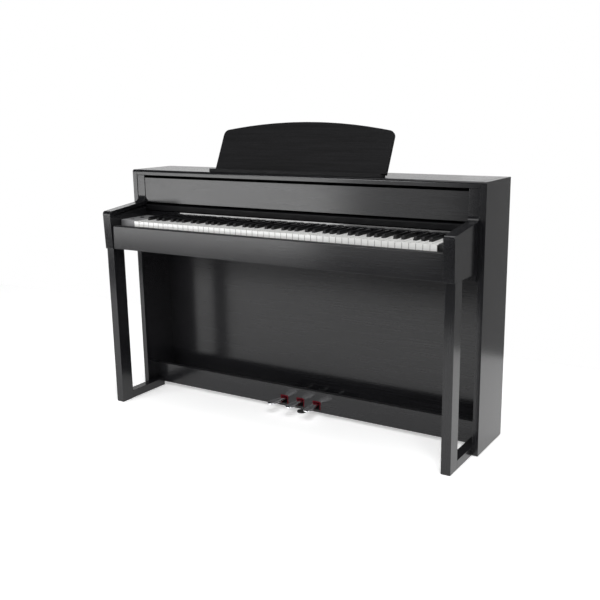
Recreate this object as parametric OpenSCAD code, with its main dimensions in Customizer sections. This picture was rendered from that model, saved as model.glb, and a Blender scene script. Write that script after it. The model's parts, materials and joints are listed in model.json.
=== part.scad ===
// Console digital piano on its stand: a black cabinet on two legs, with 88 keys, a sliding
// key cover, a folding music desk and three pedals.
// Units are millimetres. +X is the treble side, the player sits at -Y, +Z is up.
// The origin is on the floor, at the middle of the cabinet's width and depth.

/* [Cabinet] */
// Width over the two side panels
cabinet_w = 1438.4; // [1420:0.2:1460]
// Depth from the front of the cheeks to the back edge of the side panels
cabinet_d = 417.6; // [410:0.2:430]
// Height of the top board above the floor
cabinet_h = 889.5; // [880:0.5:900]
// Thickness of a side panel
side_t = 20.6; // [16:0.2:24]
// Depth of a side panel, front edge to back edge
side_d = 223.3; // [215:0.1:235]
// Thickness of a cheek, the board at each end of the keys
cheek_t = 37; // [30:1:40]
// Thickness of the top board
top_t = 20; // [12:0.5:22]
// Radius of the rounded front edges of the top board and side panels
edge_r = 9; // [4:1:10]

/* [Legs and pedal rail] */
// Width of a leg, seen from the front
leg_w = 32.6; // [24:0.2:34]
// Depth of a leg, seen from the side
leg_d = 55.6; // [45:0.2:65]
// Height of the runner that joins a leg to the cabinet, with its glide
runner_h = 32.2; // [24:0.2:40]
// Height of the top of the pedal rail above the floor
rail_top_z = 94.5; // [85:0.5:100]
// Thickness of the pedal rail
rail_t = 18; // [15:1:19]
// Thickness of a plastic glide
glide_h = 2; // [2:0.5:4]

/* [Keys] */
// Width of one white key with its gap
key_pitch = 23.3; // [23.3:0.1:23.6]
// Distance of the keyboard's middle from the cabinet's middle, towards the treble
keys_x = 17.5; // [0:0.5:18]
// Length of a white key in front of the fallboard
white_len = 150; // [145:1:150]
// Length of a black key
black_len = 95; // [90:1:95]
// Travel of a white key at its front edge
key_dip = 10; // [8:0.5:10]
// Height of the top of the white keys above the floor
key_top_z = 711.5; // [710:0.5:712]

/* [Key cover] */
// Angle at which the cover slides, down towards the player
cover_slope = 6.7; // [6:0.1:7]
// Distance the cover slides from open to closed
cover_travel = 185; // [170:1:186]

/* [Music desk] */
// Width of the music desk
desk_w = 704; // [600:2:760]
// Lean of the music desk behind the vertical
desk_tilt = 25.5; // [18:0.5:28]
// Thickness of the music desk
desk_t = 12; // [9:1:14]
// Distance of the desk's middle from the cabinet's middle, towards the treble
desk_x = 4; // [0:1:10]

/* [Pedals] */
// Distance between two pedals
pedal_pitch = 71; // [66:1:75]
// Length of a pedal in front of the rail
pedal_reach = 88; // [60:1:90]
// Width of a pedal at its tip
pedal_tip_w = 37; // [24:1:38]
// Distance by which the tip of an outer pedal bends outwards
pedal_splay = 7.5; // [0:0.5:10]

/* [Hidden] */
$fn = 48;
eps = 0.01;

// Colours
satin_black = [0.12, 0.12, 0.13];
gloss_black = [0.05, 0.05, 0.06];
ivory_white = [0.95, 0.95, 0.93];
steel = [0.6, 0.6, 0.62];
felt_red = [0.5, 0.05, 0.08];
board_green = [0.1, 0.35, 0.2];

// Depth stations. The front plane of the side panels is the one that the rest is set out from.
back_y = cabinet_d / 2;
panel_y = back_y - side_d;
arm_front_y = -cabinet_d / 2;
inner_x = cabinet_w / 2 - side_t;
bed_x = inner_x - cheek_t;

// Upper case
under_top_z = cabinet_h - top_t;
cheek_bottom_z = 607.9;
arm_lean = 5.2;
arm_front_z = 748.5;
arm_top_front = [panel_y - 185, arm_front_z];
arm_top_back = [panel_y - 23, arm_front_z + 162 * tan(cover_slope)];
arm_corner_r = 12;
post_curve_r = 24;
back_panel_t = 5;
back_panel_y = back_y - 10;
fascia_y = panel_y + 4;
fascia_t = 16;
fascia_z = 766;
fascia_top_z = under_top_z - 9.7;
slip_y = panel_y - 185;
slip_t = 25;
slip_top_z = 695;
bed_z = 609.2;
bed_t = 18;
bed_top_z = bed_z + bed_t;
knee_y = panel_y + 160;
knee_t = 12;
knee_bottom_z = 30;
rail_y = panel_y + 60;
rail_bottom_z = 16;
leg_y = arm_front_y + 12;
cleat_w = 25;
cleat_front = 17;
glide_edge = 1.5;
glide_l = 36;
glide_inset = 22;

// Keyboard
octave = 7 * key_pitch;
white_count = 52;
keys_w = white_count * key_pitch;
keys_x0 = keys_x - keys_w / 2;
keys_x1 = keys_x + keys_w / 2;
key_front_y = panel_y - 145;
key_head = 50;
key_gap = 0.5;
key_h = 26;
key_under_z = key_top_z - key_h;
black_h = 12;
black_w = 12.6;
black_side_lean = 1.6;
black_slot = 13.5;
pivot_y = panel_y + 85;
pivot_r = 3;
pivot_play = 0.05;
tail_end = 8;
key_block_front = panel_y - 137;
key_block_top_z = 714;
key_block_z = 664;
key_block_gap = 0.6;
fallboard_y = key_front_y + white_len;
fallboard_t = 14;
fallboard_z = [713.5, 732.5];
fallboard_lean = 1;
// Octave positions of the seven white and five black notes, as the x of a tail's left side
tail_cde = (3 * key_pitch - 2 * black_slot) / 3;
tail_fb = (4 * key_pitch - 3 * black_slot) / 4;
// The lowest key is an A, so the first C starts two white keys in
first_c_x = keys_x0 + 2 * key_pitch;

// Key cover
cover_t = 8;
cover_tongue = 6;
groove_d = 7;
groove_h = 9.4;
cover_len = 203;
lip_h = 21;
lip_t = 16;
lip_origin = [panel_y + 2, 736];
lip_r = 3;
plate_v = lip_h - cover_t - 1.5;

// Music desk
hinge_rise = 4.5;
hinge_y = panel_y + 62.3;
hinge_z = cabinet_h + hinge_rise;
knuckle_r = 4;
pin_r = 2;
pin_play = 0.05;
prop_reach = 76;
prop_w = 34;
lug_t = 5;
desk_hinge_dx = 250;
desk_side_h = 149.8;
desk_apex = 183.7;
desk_corner_r = 22;
desk_bottom = -3;
ledge_y = panel_y + 9;
ledge_d = 34;
ledge_h = 12.5;
ledge_base_h = 6;
ledge_lip_t = 7;

// Keyboard frame
rib_t = 2;
rib_pitch = octave;
rib_count = 8;
rib_top_z = 668;
pivot_rail_d = 26;
felt_w = 25;

// Pedals
pedal_slot_w = 34;
pedal_slot_z = [25, 58.5];
pedal_felt_t = 4.5;
pedal_z = 51;
pedal_t = 7.5;
pedal_roll_r = 5;
pedal_root_w = 21;
lever_w = 14;
pedal_pivot_y = panel_y + 146;
pedal_pivot_z = 45;
axle_r = 4;
box_x = 118;
box_top_z = 58;
box_t = 2;
foot_r = 18.5;
foot_h = 6.5;
foot_travel = 3;
foot_stem_r = 4;

// Speakers and electronics
woofer_x = 2 * octave;
woofer_y = panel_y + 90;
woofer_r = 62;
woofer_hole_r = 54;
button_r = 6;
button_y = key_block_front + 24;
slider_travel = 40;
slider_y = key_block_front + 75;
control_x = (keys_x0 - bed_x) / 2;
jack_r = 3.25;
jack_depth = 14;
jack_pitch = 24;
jack_x = -550;
jack_y = panel_y - 130;
inlet_x = 500;
inlet_z = 650;
inlet_w = 28;
inlet_h = 20;
inlet_depth = 22;
blade_l = 14;
socket_x = -230;
socket_z = 660;
socket_w = 140;
socket_h = 48;
tweeter_x = 520;
tweeter_z = 812;
tweeter_w = 64;
tweeter_h = 48;
board_x = -200;
board_w = 300;
board_y = panel_y + 115;
board_d = 75;
board_t = 1.6;
standoff_h = 8;
supply_x = 430;
supply_w = 130;
supply_h = 38;

// Helpers

module block(lo, hi) {
    translate(lo)
        cube(hi - lo);
}

// Extrudes a profile drawn in Y and Z from x0 to x1
module along_x(x0, x1) {
    translate([x0, 0, 0])
        rotate([90, 0, 90])
            linear_extrude(x1 - x0)
                children();
}

module rod_x(x0, x1, y, z, r) {
    translate([x0, y, z])
        rotate([0, 90, 0])
            cylinder(h = x1 - x0, r = r);
}

module both_sides() {
    children();
    mirror([1, 0, 0])
        children();
}

// A rectangle with its front top corner rounded
module round_front(size, r) {
    square([size[0], size[1] - r]);
    translate([r, 0])
        square([size[0] - r, size[1]]);
    translate([r, size[1] - r])
        circle(r);
}

function unit(v) = v / norm(v);

// Points of an arc of radius r that rounds the corner p between a and b
function fillet(a, p, b, r, steps = 10) =
    let (u = unit(a - p), v = unit(b - p))
    let (half = acos(u * v) / 2)
    let (c = p + unit(u + v) * r / sin(half))
    let (s = p + u * r / tan(half) - c, e = p + v * r / tan(half) - c)
    let (from = atan2(s[1], s[0]), turn = atan2(s[0] * e[1] - s[1] * e[0], s * e))
    [for (i = [0 : steps]) c + r * [cos(from + turn * i / steps), sin(from + turn * i / steps)]];

// Cabinet

module side_panel() {
    color(satin_black)
        along_x(inner_x, cabinet_w / 2)
            translate([panel_y, glide_h])
                round_front([side_d, cabinet_h - glide_h], edge_r);
}

// A cheek has an arm beside the keys and a post behind it, with a round hollow between them
module cheek_outline() {
    foot_front = [arm_front_y + arm_lean, cheek_bottom_z];
    nose = [arm_front_y, arm_top_front[1] - 0.6];
    crook = [panel_y + 2, arm_top_back[1] + 25 * tan(cover_slope)];
    post_top = [panel_y + 2, under_top_z];
    polygon(concat(
        [foot_front],
        fillet(foot_front, nose, arm_top_back, arm_corner_r),
        fillet(arm_top_front, crook, post_top, post_curve_r),
        [post_top, [back_panel_y, under_top_z], [back_panel_y, cheek_bottom_z]]
    ));
}

// The path of the cover's edge: a strip that slopes down towards the player
module cover_path(v0, v1, front, back) {
    translate(lip_origin)
        rotate(cover_slope)
            translate([front, v0])
                square([back - front, v1 - v0]);
}

module cheek() {
    play = (groove_h - cover_t) / 2;
    front = lip_t - cover_travel - 6;
    color(satin_black)
        difference() {
            along_x(bed_x, inner_x)
                cheek_outline();
            along_x(bed_x - eps, bed_x + groove_d)
                cover_path(plate_v - play, plate_v + cover_t + play, front, cover_len + 40);
        }
}

module top_board() {
    color(satin_black)
        along_x(-inner_x, inner_x)
            translate([panel_y, under_top_z])
                round_front([side_d, top_t], edge_r);
}

module fascia() {
    color(satin_black)
        block([-bed_x, fascia_y, fascia_z], [bed_x, fascia_y + fascia_t, fascia_top_z]);
}

module key_slip() {
    color(satin_black)
        along_x(-bed_x, bed_x)
            translate([slip_y, bed_z])
                round_front([slip_t, slip_top_z - bed_z], 3);
}

module key_bed() {
    color(satin_black)
        difference() {
            block([-bed_x, slip_y + slip_t, bed_z], [bed_x, back_panel_y, bed_top_z]);
            both_sides()
                translate([woofer_x, woofer_y, bed_z - 1])
                    cylinder(h = bed_t + 2, r = woofer_hole_r);
            for (side = [-1, 1])
                translate([jack_x + side * jack_pitch / 2, jack_y, bed_z - 1])
                    cylinder(h = bed_t + 2, r = 7);
        }
}

module knee_panel() {
    color(satin_black)
        block([-inner_x, knee_y, knee_bottom_z], [inner_x, knee_y + knee_t, cheek_bottom_z]);
}

module back_panel() {
    color(satin_black)
        difference() {
            block(
                [-inner_x, back_panel_y, cheek_bottom_z],
                [inner_x, back_panel_y + back_panel_t, under_top_z]
            );
            translate([socket_x, back_panel_y + back_panel_t / 2, socket_z])
                cube([socket_w - 16, back_panel_t + 2, socket_h - 12], center = true);
            translate([inlet_x, back_panel_y + back_panel_t / 2, inlet_z])
                cube([inlet_w, back_panel_t + 2, inlet_h], center = true);
        }
}

module leg() {
    color(satin_black)
        block([inner_x - leg_w, leg_y, glide_h], [inner_x, leg_y + leg_d, cheek_bottom_z]);
}

module foot_runners() {
    color(satin_black)
        both_sides()
            block([inner_x - leg_w, leg_y + leg_d, glide_h], [inner_x, rail_y, runner_h]);
}

// A square strip under each cheek, which carries the key bed along the side panel
module arm_cleats() {
    color(satin_black)
        both_sides()
            block(
                [inner_x - cleat_w, panel_y - cleat_front, cheek_bottom_z - cleat_w],
                [inner_x, knee_y, cheek_bottom_z]
            );
}

module floor_glides() {
    color(gloss_black)
        both_sides() {
            for (y = [panel_y + glide_inset, back_y - glide_inset])
                block(
                    [inner_x + glide_edge, y - glide_l / 2, 0],
                    [cabinet_w / 2 - glide_edge, y + glide_l / 2, glide_h]
                );
            block(
                [inner_x - leg_w + glide_edge, leg_y + glide_edge, 0],
                [inner_x - glide_edge, leg_y + leg_d - glide_edge, glide_h]
            );
        }
}

// Between the keys and the cover

// The fallboard's face leans back a little, so its gloss shows as one bright line
module fallboard() {
    color(gloss_black)
        along_x(-bed_x, bed_x)
            polygon([
                [fallboard_y, fallboard_z[0]], [fallboard_y + fallboard_t, fallboard_z[0]],
                [fallboard_y + fallboard_t, fallboard_z[1]], [fallboard_y + fallboard_lean, fallboard_z[1]],
            ]);
}

module key_block_body(x0, x1) {
    along_x(x0, x1)
        translate([key_block_front, key_block_z])
            round_front([fallboard_y - key_block_front, key_block_top_z - key_block_z], 3);
}

module left_key_block() {
    color(gloss_black)
        difference() {
            key_block_body(-bed_x, keys_x0 - key_block_gap);
            translate([control_x, button_y, key_block_top_z - 12])
                cylinder(h = 20, r = button_r + 0.4);
            block(
                [control_x - 2, slider_y - slider_travel / 2 - 5, key_block_top_z - 12],
                [control_x + 2, slider_y + slider_travel / 2 + 5, key_block_top_z + 1]
            );
        }
}

module right_key_block() {
    color(gloss_black)
        key_block_body(keys_x1 + key_block_gap, bed_x);
}

module power_button() {
    color(gloss_black)
        translate([control_x, button_y, key_block_top_z - 9])
            cylinder(h = 10.5, r = button_r);
}

module volume_slider() {
    z = key_block_top_z;
    color(gloss_black) {
        block([control_x - 1.5, slider_y - 2.5, z - 9], [control_x + 1.5, slider_y + 2.5, z + 0.5]);
        along_x(control_x - 7, control_x + 7)
            polygon([
                [slider_y - 4.5, z + 0.5], [slider_y + 4.5, z + 0.5],
                [slider_y + 3, z + 3.5], [slider_y, z + 2.7], [slider_y - 3, z + 3.5],
            ]);
    }
}

module key_cover() {
    color(satin_black)
        along_x(-bed_x - cover_tongue, bed_x + cover_tongue)
            cover_path(plate_v, plate_v + cover_t, lip_t, cover_len);
}

module cover_lip() {
    color(satin_black)
        along_x(-bed_x + 1, bed_x - 1)
            translate(lip_origin)
                rotate(cover_slope)
                    round_front([lip_t, lip_h], lip_r);
}

// Music desk. Its own frame has its origin on the hinge line and its Z axis up the desk.

module desk_frame() {
    translate([desk_x, hinge_y, hinge_z])
        rotate([-desk_tilt, 0, 0])
            children();
}

function arch_height(x) =
    let (sag = desk_apex - desk_side_h)
    let (r = (pow(desk_w / 2, 2) + sag * sag) / (2 * sag))
    desk_apex - r + sqrt(r * r - x * x);

module desk_outline() {
    half = desk_w / 2;
    steps = 24;
    span = half - 26;
    arch = [for (i = [0 : steps]) let (x = span - 2 * span * i / steps) [x, arch_height(x)]];
    corner = [half, desk_side_h];
    right = fillet([half, desk_bottom], corner, arch[0], desk_corner_r);
    left = [for (i = [len(right) - 1 : -1 : 0]) [-right[i][0], right[i][1]]];
    polygon(concat([[-half, desk_bottom], [half, desk_bottom]], right, arch, left));
}

module music_desk() {
    color(satin_black)
        desk_frame()
            translate([0, -hinge_rise, 0])
                rotate([90, 0, 0])
                    linear_extrude(desk_t)
                        desk_outline();
}

module desk_ledge() {
    color(satin_black)
        along_x(desk_x - desk_w / 2, desk_x + desk_w / 2)
            translate([ledge_y, cabinet_h]) {
                square([ledge_d, ledge_base_h]);
                square([ledge_lip_t, ledge_h]);
            }
}

// Lugs screwed to the top board, each pair with its riveted pin
module desk_hinge_lugs() {
    color(steel)
        for (side = [-1, 1])
            translate([desk_x + side * desk_hinge_dx, 0, 0]) {
                for (x = [-14, 14 - lug_t])
                    along_x(x, x + lug_t)
                        translate([hinge_y, 0]) {
                            translate([-knuckle_r, cabinet_h])
                                square([2 * knuckle_r, hinge_rise]);
                            translate([0, hinge_z])
                                circle(knuckle_r);
                        }
                rod_x(-14, 14, hinge_y, hinge_z, pin_r);
            }
}

// Knuckles on the desk's back: two on the hinge line and the fork that holds the prop
module desk_knuckles() {
    color(steel)
        desk_frame() {
            for (side = [-1, 1])
                translate([side * desk_hinge_dx, 0, 0])
                    difference() {
                        along_x(-8.5, 8.5) {
                            circle(knuckle_r);
                            translate([-hinge_rise, 0])
                                square([hinge_rise + knuckle_r - 1, 16]);
                        }
                        rod_x(-9, 9, 0, 0, pin_r + pin_play);
                    }
            for (x = [-prop_w / 2 - 0.5 - lug_t, prop_w / 2 + 0.5])
                along_x(x, x + lug_t) {
                    translate([-hinge_rise, prop_reach - 8])
                        square([hinge_rise, 16]);
                    translate([0, prop_reach])
                        circle(knuckle_r);
                }
            rod_x(-prop_w / 2 - 1, prop_w / 2 + 1, 0, prop_reach, pin_r);
        }
}

// The prop leans forward from its foot on the top board to its pin on the desk's back
module desk_prop() {
    color(steel)
        translate([
            desk_x,
            hinge_y + prop_reach * sin(desk_tilt),
            hinge_z + prop_reach * cos(desk_tilt),
        ])
            rotate([desk_tilt, 0, 0])
                difference() {
                    along_x(-prop_w / 2, prop_w / 2) {
                        circle(knuckle_r);
                        translate([-knuckle_r, -prop_reach])
                            square([2 * knuckle_r, prop_reach]);
                        translate([0, -prop_reach])
                            circle(knuckle_r);
                    }
                    rod_x(-prop_w, prop_w, 0, 0, pin_r + pin_play);
                    translate([0, 0, -prop_reach / 2])
                        cube([prop_w - 14, 4 * knuckle_r, prop_reach - 30], center = true);
                }
}

// Keyboard

// Left and right side of the tail of white note n, counted from the C of its octave
function tail_left(n) =
    n < 3 ? n * (tail_cde + black_slot) : 3 * key_pitch + (n - 3) * (tail_fb + black_slot);
function tail_right(n) = tail_left(n) + (n < 3 ? tail_cde : tail_fb);
// The black note just above white note n sits in the slot at the right of that note's tail
function black_x(n) = tail_right(n) + black_slot / 2;

// Octave starts: the keyboard begins at the A below the first C and ends at the top C
function octave_x(k) = first_c_x + k * octave;

module white_key(n, k) {
    head = [octave_x(k) + n * key_pitch + key_gap, octave_x(k) + (n + 1) * key_pitch - key_gap];
    lowest = k < 0 && n == 5;
    highest = k == 7;
    tail_x0 = lowest ? head[0] : octave_x(k) + tail_left(n) + key_gap;
    tail_x1 = highest ? head[1] : octave_x(k) + tail_right(n) - key_gap;
    difference() {
        union() {
            block([head[0], key_front_y, key_under_z], [head[1], key_front_y + key_head, key_top_z]);
            block(
                [tail_x0, key_front_y + key_head - 1, key_under_z],
                [tail_x1, pivot_y + tail_end, key_top_z]
            );
        }
        rod_x(tail_x0 - 1, tail_x1 + 1, pivot_y, key_under_z, pivot_r + pivot_play);
    }
}

// A black key: its sides and front lean in towards the top, and a narrow tail runs to the pivot
module black_key(n, k) {
    x = octave_x(k) + black_x(n);
    y0 = key_front_y + key_head + 1.5;
    z1 = key_top_z + black_h;
    difference() {
        union() {
            intersection() {
                along_x(x - black_w, x + black_w)
                    polygon([
                        [y0, key_under_z], [y0 + black_len, key_under_z], [y0 + black_len, z1],
                        [y0 + 6, z1], [y0 + 1.5, z1 - 3], [y0, key_top_z - 2],
                    ]);
                translate([x, y0 - 1, 0])
                    rotate([-90, 0, 0])
                        linear_extrude(black_len + 2)
                            polygon([
                                [-black_w / 2, -key_under_z], [-black_w / 2, -key_top_z],
                                [black_side_lean - black_w / 2, -z1], [black_w / 2 - black_side_lean, -z1],
                                [black_w / 2, -key_top_z], [black_w / 2, -key_under_z],
                            ]);
            }
            block(
                [x - black_w / 2, y0 + black_len - 1, key_under_z],
                [x + black_w / 2, pivot_y + tail_end, key_top_z - 2]
            );
        }
        rod_x(x - black_w, x + black_w, pivot_y, key_under_z, pivot_r + pivot_play);
    }
}

// Octaves in which white note n has a key: A and B also below the first C, and C above the last
function octaves_of(n) = [(n >= 5 ? -1 : 0) : (n == 0 ? 7 : 6)];

module white_keys(n) {
    color(ivory_white)
        for (k = octaves_of(n))
            white_key(n, k);
}

// Black notes are named by the white note below them; only A sharp has one below the first C
module black_keys(n) {
    color(gloss_black)
        for (k = [(n == 5 ? -1 : 0) : 6])
            black_key(n, k);
}

module action_frame() {
    color(steel) {
        for (i = [0 : rib_count - 1]) {
            x = (i - (rib_count - 1) / 2) * rib_pitch;
            block(
                [x - rib_t / 2, key_front_y + 4, bed_top_z],
                [x + rib_t / 2, pivot_y + pivot_rail_d / 2, rib_top_z]
            );
        }
        block(
            [keys_x0, key_front_y + 4, rib_top_z],
            [keys_x1, key_front_y + 4 + felt_w, rib_top_z + rib_t]
        );
    }
}

// The rail that carries the keys on its round ridge
module pivot_rail() {
    color(steel)
        along_x(keys_x0, keys_x1) {
            translate([pivot_y - pivot_rail_d / 2, rib_top_z])
                square([pivot_rail_d, key_under_z - 1 - rib_top_z]);
            intersection() {
                translate([pivot_y, key_under_z])
                    circle(pivot_r);
                translate([pivot_y - pivot_r, key_under_z - 2])
                    square([2 * pivot_r, 2 + pivot_r]);
            }
        }
}

module key_felt() {
    color(felt_red)
        block(
            [keys_x0, key_front_y + 5, rib_top_z + rib_t],
            [keys_x1, key_front_y + 3 + felt_w, rib_top_z + rib_t + 4.5]
        );
}

// Pedals

module pedal_rail() {
    color(satin_black)
        difference() {
            block([-inner_x, rail_y, rail_bottom_z], [inner_x, rail_y + rail_t, rail_top_z]);
            for (i = [-1 : 1])
                block(
                    [i * pedal_pitch - pedal_slot_w / 2, rail_y - 1, pedal_slot_z[0]],
                    [i * pedal_pitch + pedal_slot_w / 2, rail_y + rail_t + 1, pedal_slot_z[1]]
                );
            translate([0, rail_y + rail_t / 2, rail_bottom_z - 1])
                cylinder(h = pedal_slot_z[0] - rail_bottom_z, r = foot_stem_r + 0.1);
        }
}

// A felt lining over the top and sides of each slot, 1 mm proud of the rail
module pedal_felts() {
    color(felt_red)
        for (i = [-1 : 1])
            translate([i * pedal_pitch, rail_y - 1, 0])
                difference() {
                    block(
                        [-pedal_slot_w / 2, 0, pedal_slot_z[0]],
                        [pedal_slot_w / 2, rail_t - 1, pedal_slot_z[1]]
                    );
                    block(
                        [-pedal_slot_w / 2 + pedal_felt_t, -1, pedal_slot_z[0] - 1],
                        [pedal_slot_w / 2 - pedal_felt_t, rail_t, pedal_z + 1.5]
                    );
                }
}

// The pedal is narrow in its slot and widens to a round tip, whose front edge rolls down
module pedal_plan(bend) {
    tip_r = pedal_tip_w / 2;
    tip_y = rail_y - pedal_reach + tip_r;
    root = pedal_root_w / 2;
    translate([bend, tip_y])
        circle(tip_r);
    polygon([
        [bend - tip_r, tip_y], [bend + tip_r, tip_y],
        [root, rail_y - 10], [root, rail_y + rail_t + 8],
        [-root, rail_y + rail_t + 8], [-root, rail_y - 10],
    ]);
}

module pedal(i) {
    color(steel)
        translate([i * pedal_pitch, 0, 0])
            difference() {
                union() {
                    intersection() {
                        along_x(-2 * pedal_tip_w, 2 * pedal_tip_w)
                            translate([rail_y - pedal_reach, pedal_z - pedal_t])
                                round_front([pedal_reach + rail_t + 20, pedal_t], pedal_roll_r);
                        translate([0, 0, pedal_z - 20])
                            linear_extrude(30)
                                pedal_plan(i * pedal_splay);
                    }
                    block(
                        [-lever_w / 2, rail_y + rail_t, pedal_z - pedal_t],
                        [lever_w / 2, pedal_pivot_y, pedal_z]
                    );
                    rod_x(-lever_w / 2, lever_w / 2, pedal_pivot_y, pedal_pivot_z, axle_r + 5);
                }
                rod_x(-lever_w, lever_w, pedal_pivot_y, pedal_pivot_z, axle_r + pivot_play);
            }
}

// A folded steel box behind the rail, open at the top, with a cheek beside each lever
module pedal_box() {
    y0 = rail_y + rail_t;
    y1 = knee_y;
    color(satin_black)
        difference() {
            union() {
                block([-box_x, y0, rail_bottom_z + 2], [box_x, y1, rail_bottom_z + 2 + box_t]);
                for (x = [-1.5, -0.5, 0.5, 1.5])
                    block(
                        [x * pedal_pitch - box_t / 2, y0, rail_bottom_z + 2],
                        [x * pedal_pitch + box_t / 2, y1, box_top_z]
                    );
            }
            rod_x(-box_x - 1, box_x + 1, pedal_pivot_y, pedal_pivot_z, axle_r);
        }
}

module pedal_axle() {
    color(steel)
        rod_x(-1.5 * pedal_pitch - 6, 1.5 * pedal_pitch + 6, pedal_pivot_y, pedal_pivot_z, axle_r);
}

// A torsion spring beside each lever, with one leg on the box's floor
module pedal_springs() {
    wire = 1.6;
    turns = 6;
    coil_r = axle_r + 1.2;
    floor_z = rail_bottom_z + 2 + box_t;
    color(steel)
        for (i = [-1 : 1])
            translate([i * pedal_pitch + lever_w / 2 + 3, pedal_pivot_y, 0]) {
                translate([0, 0, pedal_pivot_z])
                    rotate([0, 90, 0])
                        rotate_extrude()
                            for (t = [0 : turns - 1])
                                translate([coil_r, 0.9 * wire * t])
                                    circle(wire / 2, $fn = 16);
                translate([0, -coil_r, floor_z])
                    cylinder(h = pedal_pivot_z - floor_z, r = wire / 2 - 0.05, $fn = 16);
            }
}

module pedal_foot() {
    color(gloss_black)
        translate([0, rail_y + rail_t / 2, 0]) {
            cylinder(h = foot_h, r = foot_r);
            cylinder(h = pedal_slot_z[0] - foot_travel - 1.5, r = foot_stem_r);
        }
}

// Speakers and electronics

// A shallow woofer that faces down through the key bed
module woofers() {
    color(satin_black)
        both_sides()
            translate([woofer_x, woofer_y, bed_top_z])
                rotate_extrude()
                    polygon([
                        [48, 0], [woofer_r, 0], [woofer_r, 3], [54, 3], [36, 19], [36, 37],
                        [0, 37], [0, 14], [20, 12],
                    ]);
}

module woofer_grilles() {
    slot_w = 4;
    color(satin_black)
        both_sides()
            translate([woofer_x, woofer_y, bed_z - 1.5])
                difference() {
                    cylinder(h = 1.5, r = woofer_r + 3);
                    for (i = [-4 : 4])
                        let (half = sqrt(pow(woofer_hole_r - 6, 2) - pow(i * 11, 2)))
                            translate([i * 11 - slot_w / 2, -half, -1])
                                cube([slot_w, 2 * half, 4]);
                }
}

module tweeters() {
    color(satin_black)
        both_sides()
            translate([tweeter_x, fascia_y + fascia_t, tweeter_z]) {
                block([-tweeter_w / 2, 0, -tweeter_h / 2], [tweeter_w / 2, 4, tweeter_h / 2]);
                rotate([-90, 0, 0])
                    cylinder(h = 26, r = 18);
            }
}

module main_board() {
    edge = 10;
    top_z = standoff_h + board_t;
    color(board_green)
        translate([board_x, board_y, bed_top_z]) {
            translate([0, 0, standoff_h])
                cube([board_w, board_d, board_t]);
            for (x = [edge, board_w - edge], y = [edge, board_d - edge])
                translate([x, y, 0])
                    cylinder(h = standoff_h, r = 3);
            // Three square chips, a heat sink and four capacitors
            for (i = [0 : 2])
                translate([38 + 60 * i, 20, top_z])
                    cube([24, 24, 2.4]);
            translate([210, 12, top_z])
                cube([74, 20, 22]);
            for (i = [0 : 3])
                translate([220 + 18 * i, 54, top_z])
                    cylinder(h = 18, r = 6);
        }
}

module power_supply() {
    color(steel)
        translate([supply_x, board_y, bed_top_z])
            cube([supply_w, board_d, supply_h]);
}

// A mains inlet that clips into the back panel, with its recess and three blades
module power_inlet() {
    flange = 4;
    flange_t = 2.5;
    wall = 2;
    blade_pitch = 7;
    translate([inlet_x, back_panel_y + back_panel_t, inlet_z]) {
        color(gloss_black)
            difference() {
                union() {
                    block([-inlet_w / 2, -inlet_depth, -inlet_h / 2], [inlet_w / 2, 0, inlet_h / 2]);
                    block(
                        [-inlet_w / 2 - flange, 0, -inlet_h / 2 - flange],
                        [inlet_w / 2 + flange, flange_t, inlet_h / 2 + flange]
                    );
                }
                block(
                    [wall - inlet_w / 2, -blade_l, wall - inlet_h / 2],
                    [inlet_w / 2 - wall, flange_t + 1, inlet_h / 2 - wall]
                );
            }
        color(steel)
            for (i = [-1 : 1])
                translate([i * blade_pitch, -blade_l / 2 - 1, 0])
                    cube([2, blade_l - 2, 6], center = true);
    }
}

// A steel plate with line, pedal and data sockets, over a cut-out in the back panel
module socket_panel() {
    t = 1.5;
    first_jack = -50;
    usb_x = 12;
    pedal_socket_x = 42;
    color(steel)
        translate([socket_x, back_panel_y + back_panel_t, socket_z])
            difference() {
                block([-socket_w / 2, 0, -socket_h / 2], [socket_w / 2, t, socket_h / 2]);
                for (i = [0 : 2])
                    translate([first_jack + i * jack_pitch, -1, 0])
                        rotate([-90, 0, 0])
                            cylinder(h = t + 2, r = jack_r);
                translate([usb_x, 0, 0])
                    cube([12, 4 * t, 11], center = true);
                translate([pedal_socket_x, 0, 0])
                    cube([16, 4 * t, 7], center = true);
            }
}

// Two headphone sockets in a plate under the key bed, near its front left corner
module headphone_jacks() {
    color(gloss_black)
        difference() {
            union() {
                block([jack_x - 30, jack_y - 14, bed_z - 3], [jack_x + 30, jack_y + 14, bed_z]);
                for (side = [-1, 1])
                    translate([jack_x + side * jack_pitch / 2, jack_y, bed_z])
                        cylinder(h = 16, r = 6.5);
            }
            for (side = [-1, 1])
                translate([jack_x + side * jack_pitch / 2, jack_y, bed_z - 4])
                    cylinder(h = 4 + jack_depth, r = jack_r);
        }
}

// Angle brackets that hold the knee panel, and the screws of the back panel
module fixings() {
    arm = 28;
    t = 2;
    screw_inset = 12;
    span = inner_x - screw_inset;
    y = knee_y + knee_t;
    color(steel) {
        both_sides()
            for (z = [150, 350, 540]) {
                block([inner_x - arm, y, z], [inner_x, y + t, z + arm]);
                block([inner_x - t, y + t, z], [inner_x, y + arm, z + arm]);
            }
        for (i = [-2 : 2], z = [cheek_bottom_z + screw_inset, under_top_z - screw_inset])
            translate([i * span / 2, back_panel_y + back_panel_t, z])
                rotate([-90, 0, 0])
                    cylinder(h = 2, r = 4);
    }
}

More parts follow.
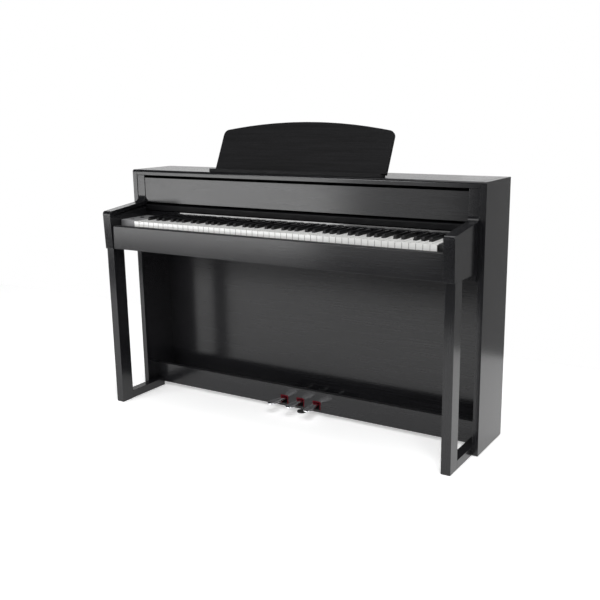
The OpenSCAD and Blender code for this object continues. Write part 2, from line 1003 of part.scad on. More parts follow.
mirror([1, 0, 0]) side_panel();  // left_side_panel
side_panel();  // right_side_panel
mirror([1, 0, 0]) cheek();  // left_cheek
cheek();  // right_cheek
mirror([1, 0, 0]) leg();  // left_leg
leg();  // right_leg
foot_runners();
arm_cleats();
floor_glides();
top_board();
fascia();
key_slip();
key_bed();
knee_panel();
back_panel();
fallboard();
left_key_block();
right_key_block();
key_cover();
cover_lip();
music_desk();
desk_ledge();
desk_hinge_lugs();
desk_knuckles();
desk_prop();
action_frame();
pivot_rail();
key_felt();
white_keys(0);  // c_keys
black_keys(0);  // c_sharp_keys
white_keys(1);  // d_keys
black_keys(1);  // d_sharp_keys
white_keys(2);  // e_keys
white_keys(3);  // f_keys
black_keys(3);  // f_sharp_keys
white_keys(4);  // g_keys
black_keys(4);  // g_sharp_keys
white_keys(5);  // a_keys
black_keys(5);  // a_sharp_keys
white_keys(6);  // b_keys
pedal_rail();
pedal_felts();
pedal_box();
pedal_axle();
pedal_springs();
pedal(-1);  // left_pedal
pedal(0);  // middle_pedal
pedal(1);  // right_pedal
pedal_foot();
woofers();
woofer_grilles();
tweeters();
main_board();
power_supply();
power_inlet();
socket_panel();
headphone_jacks();
power_button();
volume_slider();
fixings();
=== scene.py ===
"""Looks of the digital piano: bevelled boards, keys, pedals and small parts, with procedural materials."""

import json
import math

import bmesh
import bpy
from mathutils import Matrix, Vector

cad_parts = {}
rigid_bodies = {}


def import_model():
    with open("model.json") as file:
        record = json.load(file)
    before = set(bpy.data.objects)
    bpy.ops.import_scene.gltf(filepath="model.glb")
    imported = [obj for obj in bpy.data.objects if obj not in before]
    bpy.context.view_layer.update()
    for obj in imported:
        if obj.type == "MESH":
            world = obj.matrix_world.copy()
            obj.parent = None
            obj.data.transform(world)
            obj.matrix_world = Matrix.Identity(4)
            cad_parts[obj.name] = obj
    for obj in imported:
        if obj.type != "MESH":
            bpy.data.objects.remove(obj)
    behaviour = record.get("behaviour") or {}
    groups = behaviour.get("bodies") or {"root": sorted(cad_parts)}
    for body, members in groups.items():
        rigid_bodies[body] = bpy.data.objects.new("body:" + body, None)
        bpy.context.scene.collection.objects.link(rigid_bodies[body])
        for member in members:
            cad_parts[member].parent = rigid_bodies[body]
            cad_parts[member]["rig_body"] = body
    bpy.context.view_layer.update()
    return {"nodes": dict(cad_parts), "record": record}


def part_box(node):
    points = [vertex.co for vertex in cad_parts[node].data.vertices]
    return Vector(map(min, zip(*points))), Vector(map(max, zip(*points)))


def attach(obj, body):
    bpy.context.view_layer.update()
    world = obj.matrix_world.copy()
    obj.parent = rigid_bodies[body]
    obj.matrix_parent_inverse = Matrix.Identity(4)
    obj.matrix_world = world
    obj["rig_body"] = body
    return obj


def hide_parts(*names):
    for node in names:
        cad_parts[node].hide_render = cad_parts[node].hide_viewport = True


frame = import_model()
nodes = frame["nodes"]
scene = bpy.context.scene
X, Y, Z = Vector((1, 0, 0)), Vector((0, 1, 0)), Vector((0, 0, 1))


# Camera, lights and floor: places and sizes in metres, angles in degrees

# Solved from the cabinet's straight edges in the photograph
CAMERA_PLACE = (1.5916, -2.4475, 1.1125)
CAMERA_YAW, CAMERA_PITCH, CAMERA_ROLL = 31.4422, 13.0211, -0.6885
CAMERA_LENS, CAMERA_SHIFT_X, CAMERA_SHIFT_Y = 50.056, -0.0242, 0.0022

WORLD_LIGHT = 0.01
CEILING_LIGHT, CEILING_SPREAD = 0.9, 60
# Each row: name, place, point it faces, width and height, radiance
AREA_LIGHTS = (
    # In front, to the left: the sheen that fades to the right over the upright boards
    ("softbox", (-2.27, -2.5, 0.5), (-2.27, 0, 0.5), (2.3, 0.62), 5.8),
    ("softbox_rim", (-2.3, -2.5, 1.1), (-2.3, 0, 1.1), (2.25, 0.6), 1.0),
    ("softbox_side", (-0.75, -2.5, 0.8), (-0.75, 0, 0.8), (0.9, 1.2), 1.3),
    ("front_high", (-1.4, -2.5, 1.8), (-1.4, 0, 1.8), (1.5, 0.8), 9.0),
    # Overhead: the keys, the pedals and the floor
    ("over_treble", (1.8, -2.2, 3.0), (1.8, -2.2, 0), (1.8, 1.6), 10.0),
    ("over_back", (1.0, 0.4, 3.0), (1.0, 0.4, 0), (3.0, 2.0), 1.6),
    # Behind: what the top board and the legs' sides mirror
    ("backdrop_left", (-2.45, 4.2, 1.5), (-2.45, 0, 1.5), (5.5, 1.0), 0.8),
    ("backdrop_high", (-4.2, 4.2, 3.0), (-3.0, 0, 1.0), (3.0, 1.2), 2.0),
    ("backdrop_low", (0, 4.2, 0.5), (0, 0, 0.5), (2.0, 1.0), 2.7),
    # To the right: the side panel
    ("right_low", (3.4, 0.8, 0.45), (0, -0.3, 0.05), (0.5, 0.5), 3.0),
    ("back_right", (2.3, 4.0, 0.5), (0.7, 0, 0.5), (2.6, 3.4), 0.32),
)
FLOOR_X, FLOOR_Y = (-3.2, 2.2), (-1.8, 1.1)
FLOOR_GLOW = 0.42


def make_camera():
    """The photograph's view: about 31 degrees round to the treble side, and a little above the top board."""
    data = bpy.data.cameras.new("camera")
    data.lens = CAMERA_LENS
    data.sensor_width = 36
    data.shift_x = CAMERA_SHIFT_X
    data.shift_y = CAMERA_SHIFT_Y
    cam = bpy.data.objects.new("camera", data)
    scene.collection.objects.link(cam)
    yaw, pitch, roll = (math.radians(a) for a in (CAMERA_YAW, CAMERA_PITCH, CAMERA_ROLL))
    look = Vector((-math.sin(yaw) * math.cos(pitch), math.cos(yaw) * math.cos(pitch), -math.sin(pitch)))
    side = Vector((math.cos(yaw), math.sin(yaw), 0))
    up = side.cross(look)
    right = side * math.cos(roll) + up * math.sin(roll)
    turn = Matrix((right, right.cross(look), -look)).transposed().to_4x4()
    cam.matrix_world = Matrix.Translation(CAMERA_PLACE) @ turn
    scene.camera = cam


def area_light(name, where, target, size, radiance):
    """A soft light that the camera itself doesn't see, set by its brightness instead of its power."""
    data = bpy.data.lights.new(name, "AREA")
    data.shape = "RECTANGLE"
    data.size, data.size_y = size
    data.energy = radiance * math.pi * size[0] * size[1]
    lamp = bpy.data.objects.new(name, data)
    lamp.location = where
    lamp.rotation_euler = (Vector(target) - Vector(where)).to_track_quat("-Z", "Y").to_euler()
    lamp.visible_camera = False
    scene.collection.objects.link(lamp)


def make_world():
    """White to the camera, and almost dark to the object, so that the lights alone shape its sheen."""
    world = bpy.data.worlds.new("studio")
    scene.world = world
    world.use_nodes = True
    tree = world.node_tree
    tree.nodes.clear()
    out = tree.nodes.new("ShaderNodeOutputWorld")
    mix = tree.nodes.new("ShaderNodeMixShader")
    path = tree.nodes.new("ShaderNodeLightPath")
    tree.links.new(path.outputs["Is Camera Ray"], mix.inputs[0])
    for slot, strength in ((1, WORLD_LIGHT), (2, 1.0)):
        background = tree.nodes.new("ShaderNodeBackground")
        background.inputs["Color"].default_value = (1, 1, 1, 1)
        background.inputs["Strength"].default_value = strength
        tree.links.new(background.outputs[0], mix.inputs[slot])
    tree.links.new(mix.outputs[0], out.inputs["Surface"])


def make_studio():
    """A white studio with a broad ceiling light, the area lights listed above and a pale floor."""
    make_world()
    sun = bpy.data.lights.new("ceiling", "SUN")
    sun.energy = CEILING_LIGHT
    sun.angle = math.radians(CEILING_SPREAD)
    lamp = bpy.data.objects.new("ceiling", sun)
    scene.collection.objects.link(lamp)
    for row in AREA_LIGHTS:
        area_light(*row)

    mesh = bpy.data.meshes.new("floor")
    (x0, x1), (y0, y1) = FLOOR_X, FLOOR_Y
    mesh.from_pydata([(x0, y0, 0), (x1, y0, 0), (x1, y1, 0), (x0, y1, 0)], [], [(0, 1, 2, 3)])
    floor = bpy.data.objects.new("floor", mesh)
    scene.collection.objects.link(floor)
    floor.data.materials.append(pale_floor())
    scene.view_settings.view_transform = "Standard"


# Materials

class Build:
    """Short calls for making one node material."""

    def __init__(self, name):
        self.mat = bpy.data.materials.new(name)
        self.mat.use_nodes = True
        self.tree = self.mat.node_tree
        self.tree.nodes.clear()
        self.out = self.tree.nodes.new("ShaderNodeOutputMaterial")
        self.shader = self.tree.nodes.new("ShaderNodeBsdfPrincipled")
        self.tree.links.new(self.shader.outputs[0], self.out.inputs[0])
        self.place = self.tree.nodes.new("ShaderNodeTexCoord").outputs["Object"]

    def set(self, **values):
        """Sets constants on the shader: Specular_IOR_Level=0.1 sets the socket Specular IOR Level."""
        for key, value in values.items():
            self.shader.inputs[key.replace("_", " ")].default_value = value

    def link(self, a, b):
        self.tree.links.new(a, b)

    def scaled(self, scale, turn=(0, 0, 0)):
        """Object coordinates, stretched and turned."""
        node = self.tree.nodes.new("ShaderNodeMapping")
        node.inputs["Scale"].default_value = scale
        node.inputs["Rotation"].default_value = turn
        self.link(self.place, node.inputs["Vector"])
        return node.outputs[0]

    def facing(self, axis):
        """How far the surface's normal points along X, Y or Z."""
        split = self.tree.nodes.new("ShaderNodeSeparateXYZ")
        self.link(self.tree.nodes.new("ShaderNodeNewGeometry").outputs["Normal"], split.inputs[0])
        return split.outputs[axis]

    def noise(self, vector, scale, detail=4, rough=0.5):
        node = self.tree.nodes.new("ShaderNodeTexNoise")
        node.inputs["Scale"].default_value = scale
        node.inputs["Detail"].default_value = detail
        node.inputs["Roughness"].default_value = rough
        self.link(vector, node.inputs["Vector"])
        return node.outputs["Fac"]

    def cells(self, vector, scale):
        node = self.tree.nodes.new("ShaderNodeTexVoronoi")
        node.inputs["Scale"].default_value = scale
        self.link(vector, node.inputs["Vector"])
        return node.outputs["Distance"]

    def span(self, value, low, high, to_low=0.0, to_high=1.0):
        """Maps the range low to high onto to_low to to_high."""
        node = self.tree.nodes.new("ShaderNodeMapRange")
        node.inputs["From Min"].default_value = low
        node.inputs["From Max"].default_value = high
        node.inputs["To Min"].default_value = to_low
        node.inputs["To Max"].default_value = to_high
        self.link(value, node.inputs["Value"])
        return node.outputs[0]

    def sums(self, kind, a, b):
        """One maths node: a and b are numbers or other nodes' outputs."""
        node = self.tree.nodes.new("ShaderNodeMath")
        node.operation = kind
        for i, v in enumerate((a, b)):
            if isinstance(v, (int, float)):
                node.inputs[i].default_value = v
            else:
                self.link(v, node.inputs[i])
        return node.outputs[0]

    def colours(self, value, *stops):
        """Base colour from a ramp of (position, colour) stops."""
        node = self.tree.nodes.new("ShaderNodeValToRGB")
        ramp = node.color_ramp
        while len(ramp.elements) < len(stops):
            ramp.elements.new(0.5)
        for element, (at, rgb) in zip(ramp.elements, stops):
            element.position = at
            element.color = (*rgb, 1)
        self.link(value, node.inputs[0])
        self.link(node.outputs[0], self.shader.inputs["Base Color"])

    def roughness(self, value):
        self.link(value, self.shader.inputs["Roughness"])

    def bump(self, height, strength, distance):
        node = self.tree.nodes.new("ShaderNodeBump")
        node.inputs["Strength"].default_value = strength
        node.inputs["Distance"].default_value = distance
        self.link(height, node.inputs["Height"])
        self.link(node.outputs[0], self.shader.inputs["Normal"])


def pale_floor():
    """The studio's floor, lit a little from within so that it stays white round the object's shadow."""
    m = Build("pale_floor")
    tone = m.noise(m.place, 0.6)
    m.colours(tone, (0.3, (0.93, 0.93, 0.93)), (0.7, (0.95, 0.95, 0.95)))
    m.set(Roughness=0.9, Specular_IOR_Level=0.1, Emission_Color=(1, 1, 1, 1), Emission_Strength=FLOOR_GLOW)
    return m.mat


def lacquered_wood(name, along, dark, light, gloss=0.17, depth=0.03, shine=0.4, top=None):
    """Satin black lacquer over open-pored veneer: short pores and soft streaks that run along one axis.

    gloss is the mean roughness, depth the strength of the relief and shine the specular level. top is the
    extra roughness of faces that look up, which get the most wear.
    """
    m = Build(name)
    long = [140.0, 140.0, 140.0]
    fine = [900.0, 900.0, 900.0]
    long["XYZ".index(along)] = 5.0
    fine["XYZ".index(along)] = 45.0
    streaks = m.noise(m.scaled(long), 1.0, 3, 0.6)
    pores = m.noise(m.scaled(fine), 1.0, 2, 0.5)
    cloud = m.noise(m.place, 3.0, 2)
    pits = m.span(pores, 0.34, 0.46)
    m.colours(m.sums("MULTIPLY", m.span(streaks, 0.3, 0.7), pits), (0.0, dark), (1.0, light))
    smears = m.span(cloud, 0.3, 0.7, -0.01, 0.01)
    wear = m.sums("ADD", smears, m.span(streaks, 0.3, 0.7, gloss + 0.01, gloss - 0.01))
    rough = m.sums("ADD", wear, m.span(pits, 0.0, 1.0, 0.05, 0.0))
    m.set(Specular_IOR_Level=shine)
    if top:
        up = m.span(m.facing("Z"), 0.9, 0.99)
        rough = m.sums("ADD", rough, m.span(up, 0.0, 1.0, 0.0, top))
    m.roughness(rough)
    height = m.sums("ADD", m.sums("MULTIPLY", pits, 0.6), m.sums("MULTIPLY", streaks, 0.1))
    m.bump(height, depth, 0.0004)
    return m.mat


def moulded(name, dark, light, gloss, grain=1400.0, depth=0.12, shine=0.5):
    """Moulded plastic with a fine even texture; gloss, depth and shine are as for the wood."""
    m = Build(name)
    m.set(Specular_IOR_Level=shine)
    fine = m.noise(m.place, grain, 2)
    cloud = m.noise(m.place, 18.0, 3)
    m.colours(cloud, (0.3, dark), (0.7, light))
    patches = m.span(cloud, 0.3, 0.7, gloss - 0.03, gloss + 0.03)
    m.roughness(m.sums("ADD", patches, m.span(fine, 0.3, 0.7, -0.02, 0.04)))
    m.bump(fine, depth, 0.0001)
    return m.mat


def metal(name, tone, gloss, along, scratch=0.08):
    """Metal with fine lines along one axis and faint smudges."""
    m = Build(name)
    lines = [2500.0, 2500.0, 2500.0]
    lines["XYZ".index(along)] = 30.0
    brushed = m.noise(m.scaled(lines), 1.0, 2)
    smudge = m.noise(m.place, 30.0, 4)
    m.colours(smudge, (0.3, tuple(c * 0.9 for c in tone)), (0.7, tone))
    polish = m.span(brushed, 0.3, 0.7, gloss * 0.7, gloss * 1.2)
    m.roughness(m.sums("ADD", polish, m.span(smudge, 0.35, 0.7, 0.0, gloss * 0.6)))
    m.set(Metallic=1.0)
    m.bump(brushed, scratch, 0.00005)
    return m.mat


def felt(name, dark, light):
    """Pressed wool: fine fibres in soft tufts."""
    m = Build(name)
    fibres = m.noise(m.scaled((1, 1, 1), (0.4, 0.9, 0.2)), 900.0, 5, 0.7)
    tufts = m.noise(m.place, 160.0, 3)
    m.colours(m.sums("MULTIPLY", fibres, m.span(tufts, 0.2, 0.8, 0.7, 1.2)), (0.3, dark), (0.7, light))
    m.set(Roughness=0.95, Specular_IOR_Level=0.1, Sheen_Weight=0.05, Sheen_Roughness=0.5)
    m.bump(m.sums("ADD", fibres, tufts), 0.7, 0.0006)
    return m.mat


def circuit(name):
    """Green board with straight traces and solder pads."""
    m = Build(name)
    traces = m.span(m.noise(m.scaled((60, 420, 60)), 1.0, 0), 0.5, 0.54)
    pads = m.span(m.cells(m.place, 170.0), 0.12, 0.16)
    m.colours(m.sums("MULTIPLY", traces, pads), (0.0, (0.10, 0.30, 0.12)), (1.0, (0.015, 0.10, 0.04)))
    m.set(Roughness=0.35)
    m.bump(traces, 0.3, 0.0001)
    return m.mat


def cone_paper(name):
    """The woofers' dark pressed paper."""
    m = Build(name)
    fibres = m.noise(m.scaled((1, 1, 3)), 420.0, 5, 0.7)
    m.colours(fibres, (0.35, (0.012, 0.012, 0.012)), (0.7, (0.035, 0.034, 0.032)))
    m.set(Roughness=0.85)
    m.bump(fibres, 0.5, 0.0004)
    return m.mat


def key_white(name):
    """White key plastic: smooth on top, with painted shade on the sides that face the narrow gaps."""
    m = Build(name)
    cloud = m.noise(m.place, 18.0, 3)
    # Painted shade: faces turned across the keyboard are darkened in the colour, standing in for the shade down in
    # the narrow gaps between keys
    side = m.span(m.sums("ABSOLUTE", m.facing("X"), 0), 0.55, 0.95)
    m.colours(m.sums("SUBTRACT", m.span(cloud, 0.3, 0.7, 0.6, 1.0), side),
              (0.0, (0.10, 0.10, 0.098)), (0.6, (0.85, 0.85, 0.835)), (1.0, (0.88, 0.88, 0.865)))
    m.roughness(m.span(cloud, 0.3, 0.7, 0.07, 0.10))
    m.bump(m.noise(m.place, 700.0, 2), 0.04, 0.0001)
    return m.mat


LACQUER = (0.0075, 0.0075, 0.0085), (0.013, 0.013, 0.0145)
DEEP, SOOT, COAL = (0.004, 0.004, 0.0045), (0.007, 0.007, 0.008), (0.009, 0.009, 0.010)
wood_x = lacquered_wood("lacquer_across", "X", *LACQUER)
wood_y = lacquered_wood("lacquer_deep", "Y", *LACQUER)
wood_z = lacquered_wood("lacquer_upright", "Z", *LACQUER)
wood_slip = lacquered_wood("lacquer_slip", "X", *LACQUER, top=0.5)
wood_rail = lacquered_wood("lacquer_rail", "X", *LACQUER, top=0.4)
wood_lip = lacquered_wood("lacquer_lip", "X", DEEP, SOOT, 0.32, 0.02, 0.12)
wood_desk = lacquered_wood("lacquer_desk", "X", DEEP, COAL, 0.55, 0.9, 0.15)
hardboard = lacquered_wood("hardboard", "X", (0.010, 0.009, 0.009), (0.018, 0.017, 0.016), 0.62, 0.5)
# Painted light: the left key block is coloured a much lighter grey than the right one, standing in for the light it
# catches; the right one keeps the dark satin tone
painted_sheen_grey = moulded("painted_sheen_grey", (0.20, 0.20, 0.205), (0.24, 0.24, 0.245), 0.38, 600.0, 0.1)
satin_block = moulded("satin_block", (0.008, 0.008, 0.009), (0.012, 0.012, 0.013), 0.33, 600.0, 0.1)
gloss_black = moulded("gloss_black", (0.006, 0.006, 0.007), COAL, 0.07, 300.0, 0.02, 1.0)
black_plastic = moulded("black_plastic", (0.012, 0.012, 0.013), (0.020, 0.020, 0.021), 0.5)
ivory = key_white("white_key")
ebony = moulded("black_key", DEEP, SOOT, 0.40, 1100.0, 0.1, 0.25)
chrome = metal("pedal_chrome", (0.80, 0.80, 0.82), 0.09, "Y", 0.05)
zinc = metal("zinc_steel", (0.56, 0.56, 0.55), 0.34, "X", 0.3)
powder = moulded("powder_black", (0.014, 0.014, 0.015), (0.022, 0.022, 0.023), 0.48, 500.0, 0.3)
red_felt = felt("red_felt", (0.05, 0.001, 0.004), (0.12, 0.002, 0.008))
green_board = circuit("circuit_board")
paper = cone_paper("cone_paper")


# Mesh helpers

def bare_piece(name, mesh_data, material, body):
    """Links a finished bmesh as a piece that rides on a body and stands for no CAD node of its own."""
    mesh = bpy.data.meshes.new(name)
    mesh_data.to_mesh(mesh)
    mesh_data.free()
    obj = bpy.data.objects.new(name, mesh)
    scene.collection.objects.link(obj)
    mesh.materials.append(material)
    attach(obj, body)
    return obj


def piece(name, mesh_data, material, node):
    """Links a finished bmesh as a piece that rides with the named CAD node and stands for it."""
    obj = bare_piece(name, mesh_data, material, nodes[node]["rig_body"])
    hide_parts(node)
    return obj


def soften(obj, width, segments=2, angle=28):
    """Rounds the hard edges and smooths the shading between them."""
    bevel = obj.modifiers.new("bevel", "BEVEL")
    bevel.width = width
    bevel.segments = segments
    bevel.limit_method = "ANGLE"
    bevel.angle_limit = math.radians(angle)
    bevel.use_clamp_overlap = True
    smooth(obj)
    even = obj.modifiers.new("even", "WEIGHTED_NORMAL")
    even.weight = 100
    even.mode = "FACE_AREA"


def smooth(obj, levels=0):
    """Smooth shading, and subdivision if levels are given."""
    for face in obj.data.polygons:
        face.use_smooth = True
    if levels:
        sub = obj.modifiers.new("round", "SUBSURF")
        sub.levels = sub.render_levels = levels


def clean_copy(node):
    """The CAD node's mesh with its triangles joined back into whole faces."""
    bm = bmesh.new()
    bm.from_mesh(nodes[node].data)
    bmesh.ops.remove_doubles(bm, verts=bm.verts, dist=2e-6)
    bmesh.ops.dissolve_limit(bm, angle_limit=math.radians(1.0), verts=bm.verts, edges=bm.edges)
    return bm


def board(node, material, width=0.0008, segments=2):
    """The CAD node with its edges rounded by width."""
    soften(piece(node + "_board", clean_copy(node), material, node), width, segments)


def rings(bm, loops, closed_ends=True):
    """Joins loops of points, each with the same count, into a skin."""
    verts = [[bm.verts.new(p) for p in loop] for loop in loops]
    for a, b in zip(verts, verts[1:]):
        for i in range(len(a)):
            j = (i + 1) % len(a)
            bm.faces.new((a[i], a[j], b[j], b[i]))
    if closed_ends:
        bm.faces.new(list(reversed(verts[0])))
        bm.faces.new(verts[-1])


def lathe(bm, centre, axis, profile, steps=48, lobes=0, depth=0.0):
    """Turns a profile of (radius, height) rows about an axis.

    A third item in a row marks a radius that carries grips: lobes hollows, each of the given depth.
    """
    centre, axis = Vector(centre), Vector(axis)
    u = axis.orthogonal().normalized()
    v = axis.cross(u)
    loops = []
    for row in profile:
        r, h = row[0], row[1]
        loop = []
        for i in range(steps):
            a = 2 * math.pi * i / steps
            rr = r - (depth * (0.5 + 0.5 * math.cos(lobes * a)) if len(row) > 2 else 0)
            loop.append(centre + axis * h + u * (rr * math.cos(a)) + v * (rr * math.sin(a)))
        loops.append(loop)
    rings(bm, loops)


def lathe_open(bm, centre, axis, profile, steps):
    """Turns a closed profile into a ring."""
    u = axis.orthogonal().normalized()
    v = axis.cross(u)
    turn = [2 * math.pi * i / steps for i in range(steps)]
    loops = [[centre + axis * h + u * (r * math.cos(a)) + v * (r * math.sin(a)) for a in turn] for r, h in profile]
    rings(bm, loops + loops[:1], False)
    bmesh.ops.remove_doubles(bm, verts=bm.verts, dist=1e-7)


def tube(bm, points, radius, sides=10):
    """A round wire along a list of points."""
    loops = []
    normal = None
    for i, p in enumerate(points):
        ahead = (points[min(i + 1, len(points) - 1)] - points[max(i - 1, 0)]).normalized()
        normal = (normal - ahead * normal.dot(ahead)).normalized() if normal else ahead.orthogonal().normalized()
        side = ahead.cross(normal)
        turn = [2 * math.pi * k / sides for k in range(sides)]
        loops.append([p + radius * (normal * math.cos(t) + side * math.sin(t)) for t in turn])
    rings(bm, loops)


def screw_head(bm, centre, axis, radius, height):
    """A domed head with a cross recess."""
    lathe(bm, centre, axis, [
        (radius, 0), (radius, height * 0.35), (radius * 0.93, height * 0.62), (radius * 0.75, height * 0.85),
        (radius * 0.5, height), (radius * 0.42, height * 0.75), (radius * 0.2, height * 0.2),
    ], 24)
    axis = Vector(axis)
    u = axis.orthogonal().normalized()
    for arm in (u, axis.cross(u)):
        w = axis.cross(arm) * radius * 0.09
        a, b = arm * radius * 0.62, axis * height * 1.02
        middle = Vector(centre) + b * 0.5
        loop = [middle + a + w, middle + a - w, middle - a - w, middle - a + w]
        rings(bm, [loop, [p + b * 0.5 for p in loop]])


def frame_joint(name):
    return next(j for j in frame["record"]["behaviour"]["joints"] if j["name"] == name)


# The pieces that have shapes of their own, in metres

PEDALS = (("left_pedal", -1), ("middle_pedal", 0), ("right_pedal", 1))
TIP_RADIUS = 0.0184                       # the round tip, seen from above
ROOT_HALF, LEVER_HALF = 0.0105, 0.007     # half widths in the rail's slot and behind the rail
PEDAL_RISE, PEDAL_THICK = 0.006, 0.0075   # the top above the axle, and the casting's thickness
OUTWARD = 0.0075                          # how far the outer pedals' tips stand out to the sides
ROLL_LENGTH, ROLL_DROP = 0.0075, 0.0058   # the curve down at the tip's rim
CROWN, HOLLOW = 0.0011, 0.0012            # the bulge on the tip's top, and the hollow under it
CORNER_X, CORNER_Z = 0.42, 0.62           # how square the section is: 1 is an ellipse
# The blunt front of the tip: distance from the front edge, half width
TIP_FRONT = [(0.0002, 0.0015), (0.0008, 0.0052), (0.002, 0.0083), (0.004, 0.0115)]
# The eye on the axle: radius, distance along the axle
EYE = [(0.0041, -0.0065), (0.0086, -0.0068), (0.009, -0.006), (0.009, 0.006), (0.0086, 0.0068), (0.0041, 0.0065)]


def pedal(name, side):
    """A cast pedal: a crowned round tip that rolls down at its rim, a waist, a lever and an eye on the axle."""
    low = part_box(name)[0]
    rail_low, rail_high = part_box("pedal_rail")
    pivot = Vector(frame_joint(name + "_press")["pos_m"])
    top = pivot.z + PEDAL_RISE
    front, rail, back = low.y + 0.0001, rail_low.y, pivot.y - 0.006
    waist = rail - 0.010 - front

    # Distance from the front edge and half width, from the tip to the axle
    stations = list(TIP_FRONT)
    for d in (0.0065, 0.0095, 0.0135, TIP_RADIUS):
        stations.append((d, math.sqrt(TIP_RADIUS ** 2 - (TIP_RADIUS - d) ** 2)))
    for k in range(1, 7):
        t = k / 6
        stations.append((TIP_RADIUS + (waist - TIP_RADIUS) * t,
                         TIP_RADIUS + (ROOT_HALF - TIP_RADIUS) * (t * t * (3 - 2 * t))))
    stations += [(rail - front + 0.001, ROOT_HALF), (rail_high.y - front, ROOT_HALF)]
    stations += [(rail_high.y - front + 0.007, ROOT_HALF)]
    stations += [(rail_high.y - front + 0.010, LEVER_HALF), (back - front, LEVER_HALF)]

    loops = []
    for d, w in stations:
        share = max(0.0, min(1.0, 1 - (d - TIP_RADIUS) / (waist - TIP_RADIUS)))
        shift = side * OUTWARD * share
        roll = ROLL_DROP * (1 - math.sqrt(max(0.0, 1 - (1 - min(d, ROLL_LENGTH) / ROLL_LENGTH) ** 2)))
        upper, lower = top + CROWN * share - roll, top - PEDAL_THICK + HOLLOW * share
        mid, half = (upper + lower) / 2, (upper - lower) / 2
        loop = []
        for k in range(24):
            a = 2 * math.pi * k / 24
            c, s = math.cos(a), math.sin(a)
            x = w * math.copysign(abs(c) ** CORNER_X, c)
            z = half * math.copysign(abs(s) ** CORNER_Z, s)
            loop.append(Vector((pivot.x + shift + x, front + d, mid + z)))
        loops.append(loop)
    bm = bmesh.new()
    rings(bm, loops)
    lathe_open(bm, pivot, X, EYE, 40)
    smooth(piece(name + "_cast", bm, chrome, name), 1)


COIL_RADIUS, COIL_PITCH, COIL_TURNS, WIRE_RADIUS = 0.0056, 0.0016, 5, 0.00072
COIL_STEPS = 20


def springs():
    """Torsion springs: five turns of wire beside each lever, with one end down to the floor of the box."""
    bm = bmesh.new()
    floor_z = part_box("pedal_springs")[0].z
    for name, _ in PEDALS:
        pivot = Vector(frame_joint(name + "_press")["pos_m"])
        x0 = pivot.x + 0.0100
        leg = (floor_z + 0.0008, floor_z + 0.012, pivot.z - 0.004)
        points = [Vector((x0, pivot.y - COIL_RADIUS, z)) for z in leg]
        for k in range(COIL_TURNS * COIL_STEPS + 1):
            a = 2 * math.pi * k / COIL_STEPS
            points.append(Vector((x0 + COIL_PITCH * k / COIL_STEPS, pivot.y - COIL_RADIUS * math.cos(a),
                                  pivot.z + COIL_RADIUS * math.sin(a))))
        tube(bm, points, WIRE_RADIUS, 8)
    smooth(piece("torsion_springs", bm, zinc, "pedal_springs"))


WOOFER_RADIUS = 0.062
WOOFER_PROFILE = [
    # dust cap and cone
    (0.0004, 0.0125), (0.006, 0.0118), (0.012, 0.0098), (0.017, 0.0070), (0.0185, 0.0078), (0.026, 0.0062),
    (0.036, 0.0042), (0.0445, 0.0030),
    # rubber roll surround and rim
    (0.0455, 0.0012), (0.048, 0.0003), (0.0505, 0.0012), (0.0515, 0.0032), (0.0535, 0.0034), (0.0545, 0.0004),
    (0.0618, 0.0004), (0.0618, 0.003), (0.055, 0.0034),
    # basket and magnet
    (0.052, 0.006), (0.038, 0.0185), (0.036, 0.020), (0.036, 0.0362), (0.0352, 0.0368), (0.0004, 0.0368),
]


def woofer_pair():
    """Paper cones with a rubber roll surround, a dust cap, a pressed basket and a magnet."""
    bm = bmesh.new()
    low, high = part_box("woofers")
    for side in (-1, 1):
        x = side * (high.x - WOOFER_RADIUS)
        lathe(bm, (x, (low.y + high.y) / 2, low.z), Z, WOOFER_PROFILE, 96)
    smooth(piece("woofer_drivers", bm, paper, "woofers"))


STEM_CORE, STEM_CREST, STEM_PITCH = 0.0034, 0.0040, 0.0010
FOOT_GRIPS, GRIP_DEPTH = 18, 0.0009


def levelling_foot():
    """A black foot with finger grips round its rim, on a threaded stem."""
    low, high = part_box("pedal_foot")
    centre = ((low.x + high.x) / 2, (low.y + high.y) / 2, low.z)
    r = (high.x - low.x) / 2
    rim = [(0.0004, 0), (r - 0.0025, 0), (r - 0.0012, 0.0004, 1), (r - 0.0002, 0.0014, 1), (r, 0.0030, 1),
           (r - 0.0002, 0.0046, 1), (r - 0.0012, 0.0058, 1), (r - 0.0026, 0.0064), (0.0070, 0.0065), (0.0042, 0.0066)]
    z = 0.0070
    thread = []
    while z < high.z - low.z - 0.0012:
        thread += [(STEM_CORE, z), (STEM_CREST, z + STEM_PITCH / 2)]
        z += STEM_PITCH
    bm = bmesh.new()
    lathe(bm, centre, Z, rim + thread + [(STEM_CORE, z), (0.0004, z)], 144, FOOT_GRIPS, GRIP_DEPTH)
    smooth(piece("levelling_foot", bm, black_plastic, "pedal_foot"))


SCREW_INSET, SCREW_RADIUS, SCREW_HEIGHT = 0.012, 0.0044, 0.0023


def back_fixings():
    """The knee panel's angle brackets, and the back panel's screws with cross recesses."""
    soften(piece("brackets_and_screws", clean_copy("fixings"), zinc, "fixings"), 0.0003)
    low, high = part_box("back_panel")
    bm = bmesh.new()
    span = (high.x - low.x) / 2 - SCREW_INSET
    for i in range(-2, 3):
        for z in (low.z + SCREW_INSET, high.z - SCREW_INSET):
            screw_head(bm, (i * span / 2, high.y + 0.0001, z), Y, SCREW_RADIUS, SCREW_HEIGHT)
    smooth(bare_piece("back_screw_heads", bm, zinc, "cabinet"))


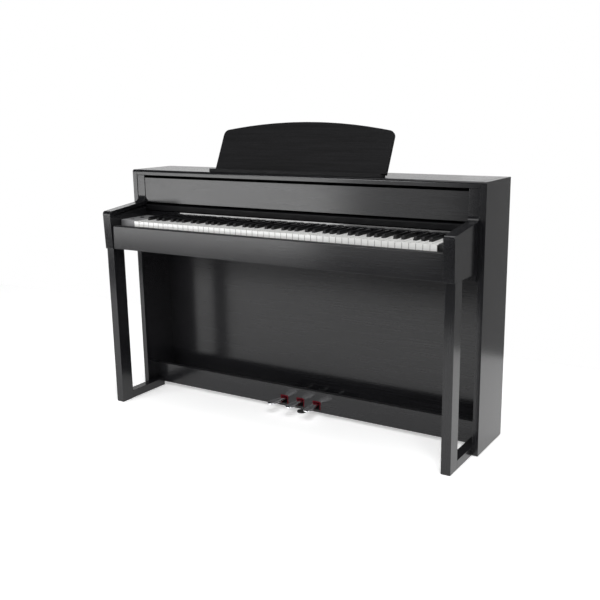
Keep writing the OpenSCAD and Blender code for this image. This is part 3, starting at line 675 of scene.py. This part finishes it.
def controls():
    """The power button, dished with a chamfered rim, and the volume slider's cap."""
    low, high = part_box("power_button")
    bm = bmesh.new()
    r = (high.x - low.x) / 2
    h = high.z - low.z
    lathe(bm, ((low.x + high.x) / 2, (low.y + high.y) / 2, low.z), Z, [
        (0.0003, 0), (r, 0), (r, h - 0.0010), (r - 0.0003, h - 0.0004), (r - 0.0010, h), (r - 0.0016, h - 0.0001),
        (r - 0.0030, h - 0.0004), (0.0003, h - 0.0006),
    ], 64)
    smooth(piece("power_cap", bm, gloss_black, "power_button"))
    soften(piece("slider_cap", clean_copy("volume_slider"), black_plastic, "volume_slider"), 0.0005)


make_camera()
make_studio()

# Cabinet boards: the veneer's grain runs along each board's length
for name in ("left_side_panel", "right_side_panel", "left_leg", "right_leg"):
    board(name, wood_z)
for name in ("foot_runners", "arm_cleats"):
    board(name, wood_y)
for name in ("left_cheek", "right_cheek"):
    board(name, wood_y, 0.0015, 3)
for name in ("top_board", "fascia", "knee_panel", "key_cover"):
    board(name, wood_x)
board("key_slip", wood_slip)
board("pedal_rail", wood_rail, 0.0025, 4)
board("cover_lip", wood_lip)
board("music_desk", wood_desk, 0.0018, 3)
board("desk_ledge", wood_desk)
board("key_bed", hardboard, 0.0006, 1)
board("back_panel", hardboard, 0.0005, 1)
board("fallboard", gloss_black)
# the left key block's lighter grey is painted light
board("left_key_block", painted_sheen_grey)
board("right_key_block", satin_block)

# Keys
for name in "cdefgab":
    board(name + "_keys", ivory, 0.0009, 3)
for name in ("c_sharp", "d_sharp", "f_sharp", "g_sharp", "a_sharp"):
    board(name + "_keys", ebony, 0.0014, 3)

# Pedals and their gear
for name, side in PEDALS:
    pedal(name, side)
springs()
levelling_foot()
board("pedal_felts", red_felt, 0.0012, 3)
board("pedal_box", powder, 0.0004)
board("pedal_axle", zinc, 0.0006)

# Speakers, electronics and metalwork
woofer_pair()
soften(piece("tweeter_drivers", clean_copy("tweeters"), powder, "tweeters"), 0.0008)
controls()
back_fixings()
for name, material, width in (
    ("floor_glides", black_plastic, 0.0006), ("woofer_grilles", powder, 0.0004),
    ("desk_hinge_lugs", zinc, 0.0004), ("desk_knuckles", zinc, 0.0004), ("desk_prop", zinc, 0.0005),
    ("action_frame", zinc, 0.0003), ("pivot_rail", zinc, 0.0004), ("key_felt", red_felt, 0.001),
    ("main_board", green_board, 0.0002), ("power_supply", zinc, 0.0012), ("power_inlet", black_plastic, 0.0005),
    ("socket_panel", powder, 0.0003), ("headphone_jacks", black_plastic, 0.0006),
):
    board(name, material, width)
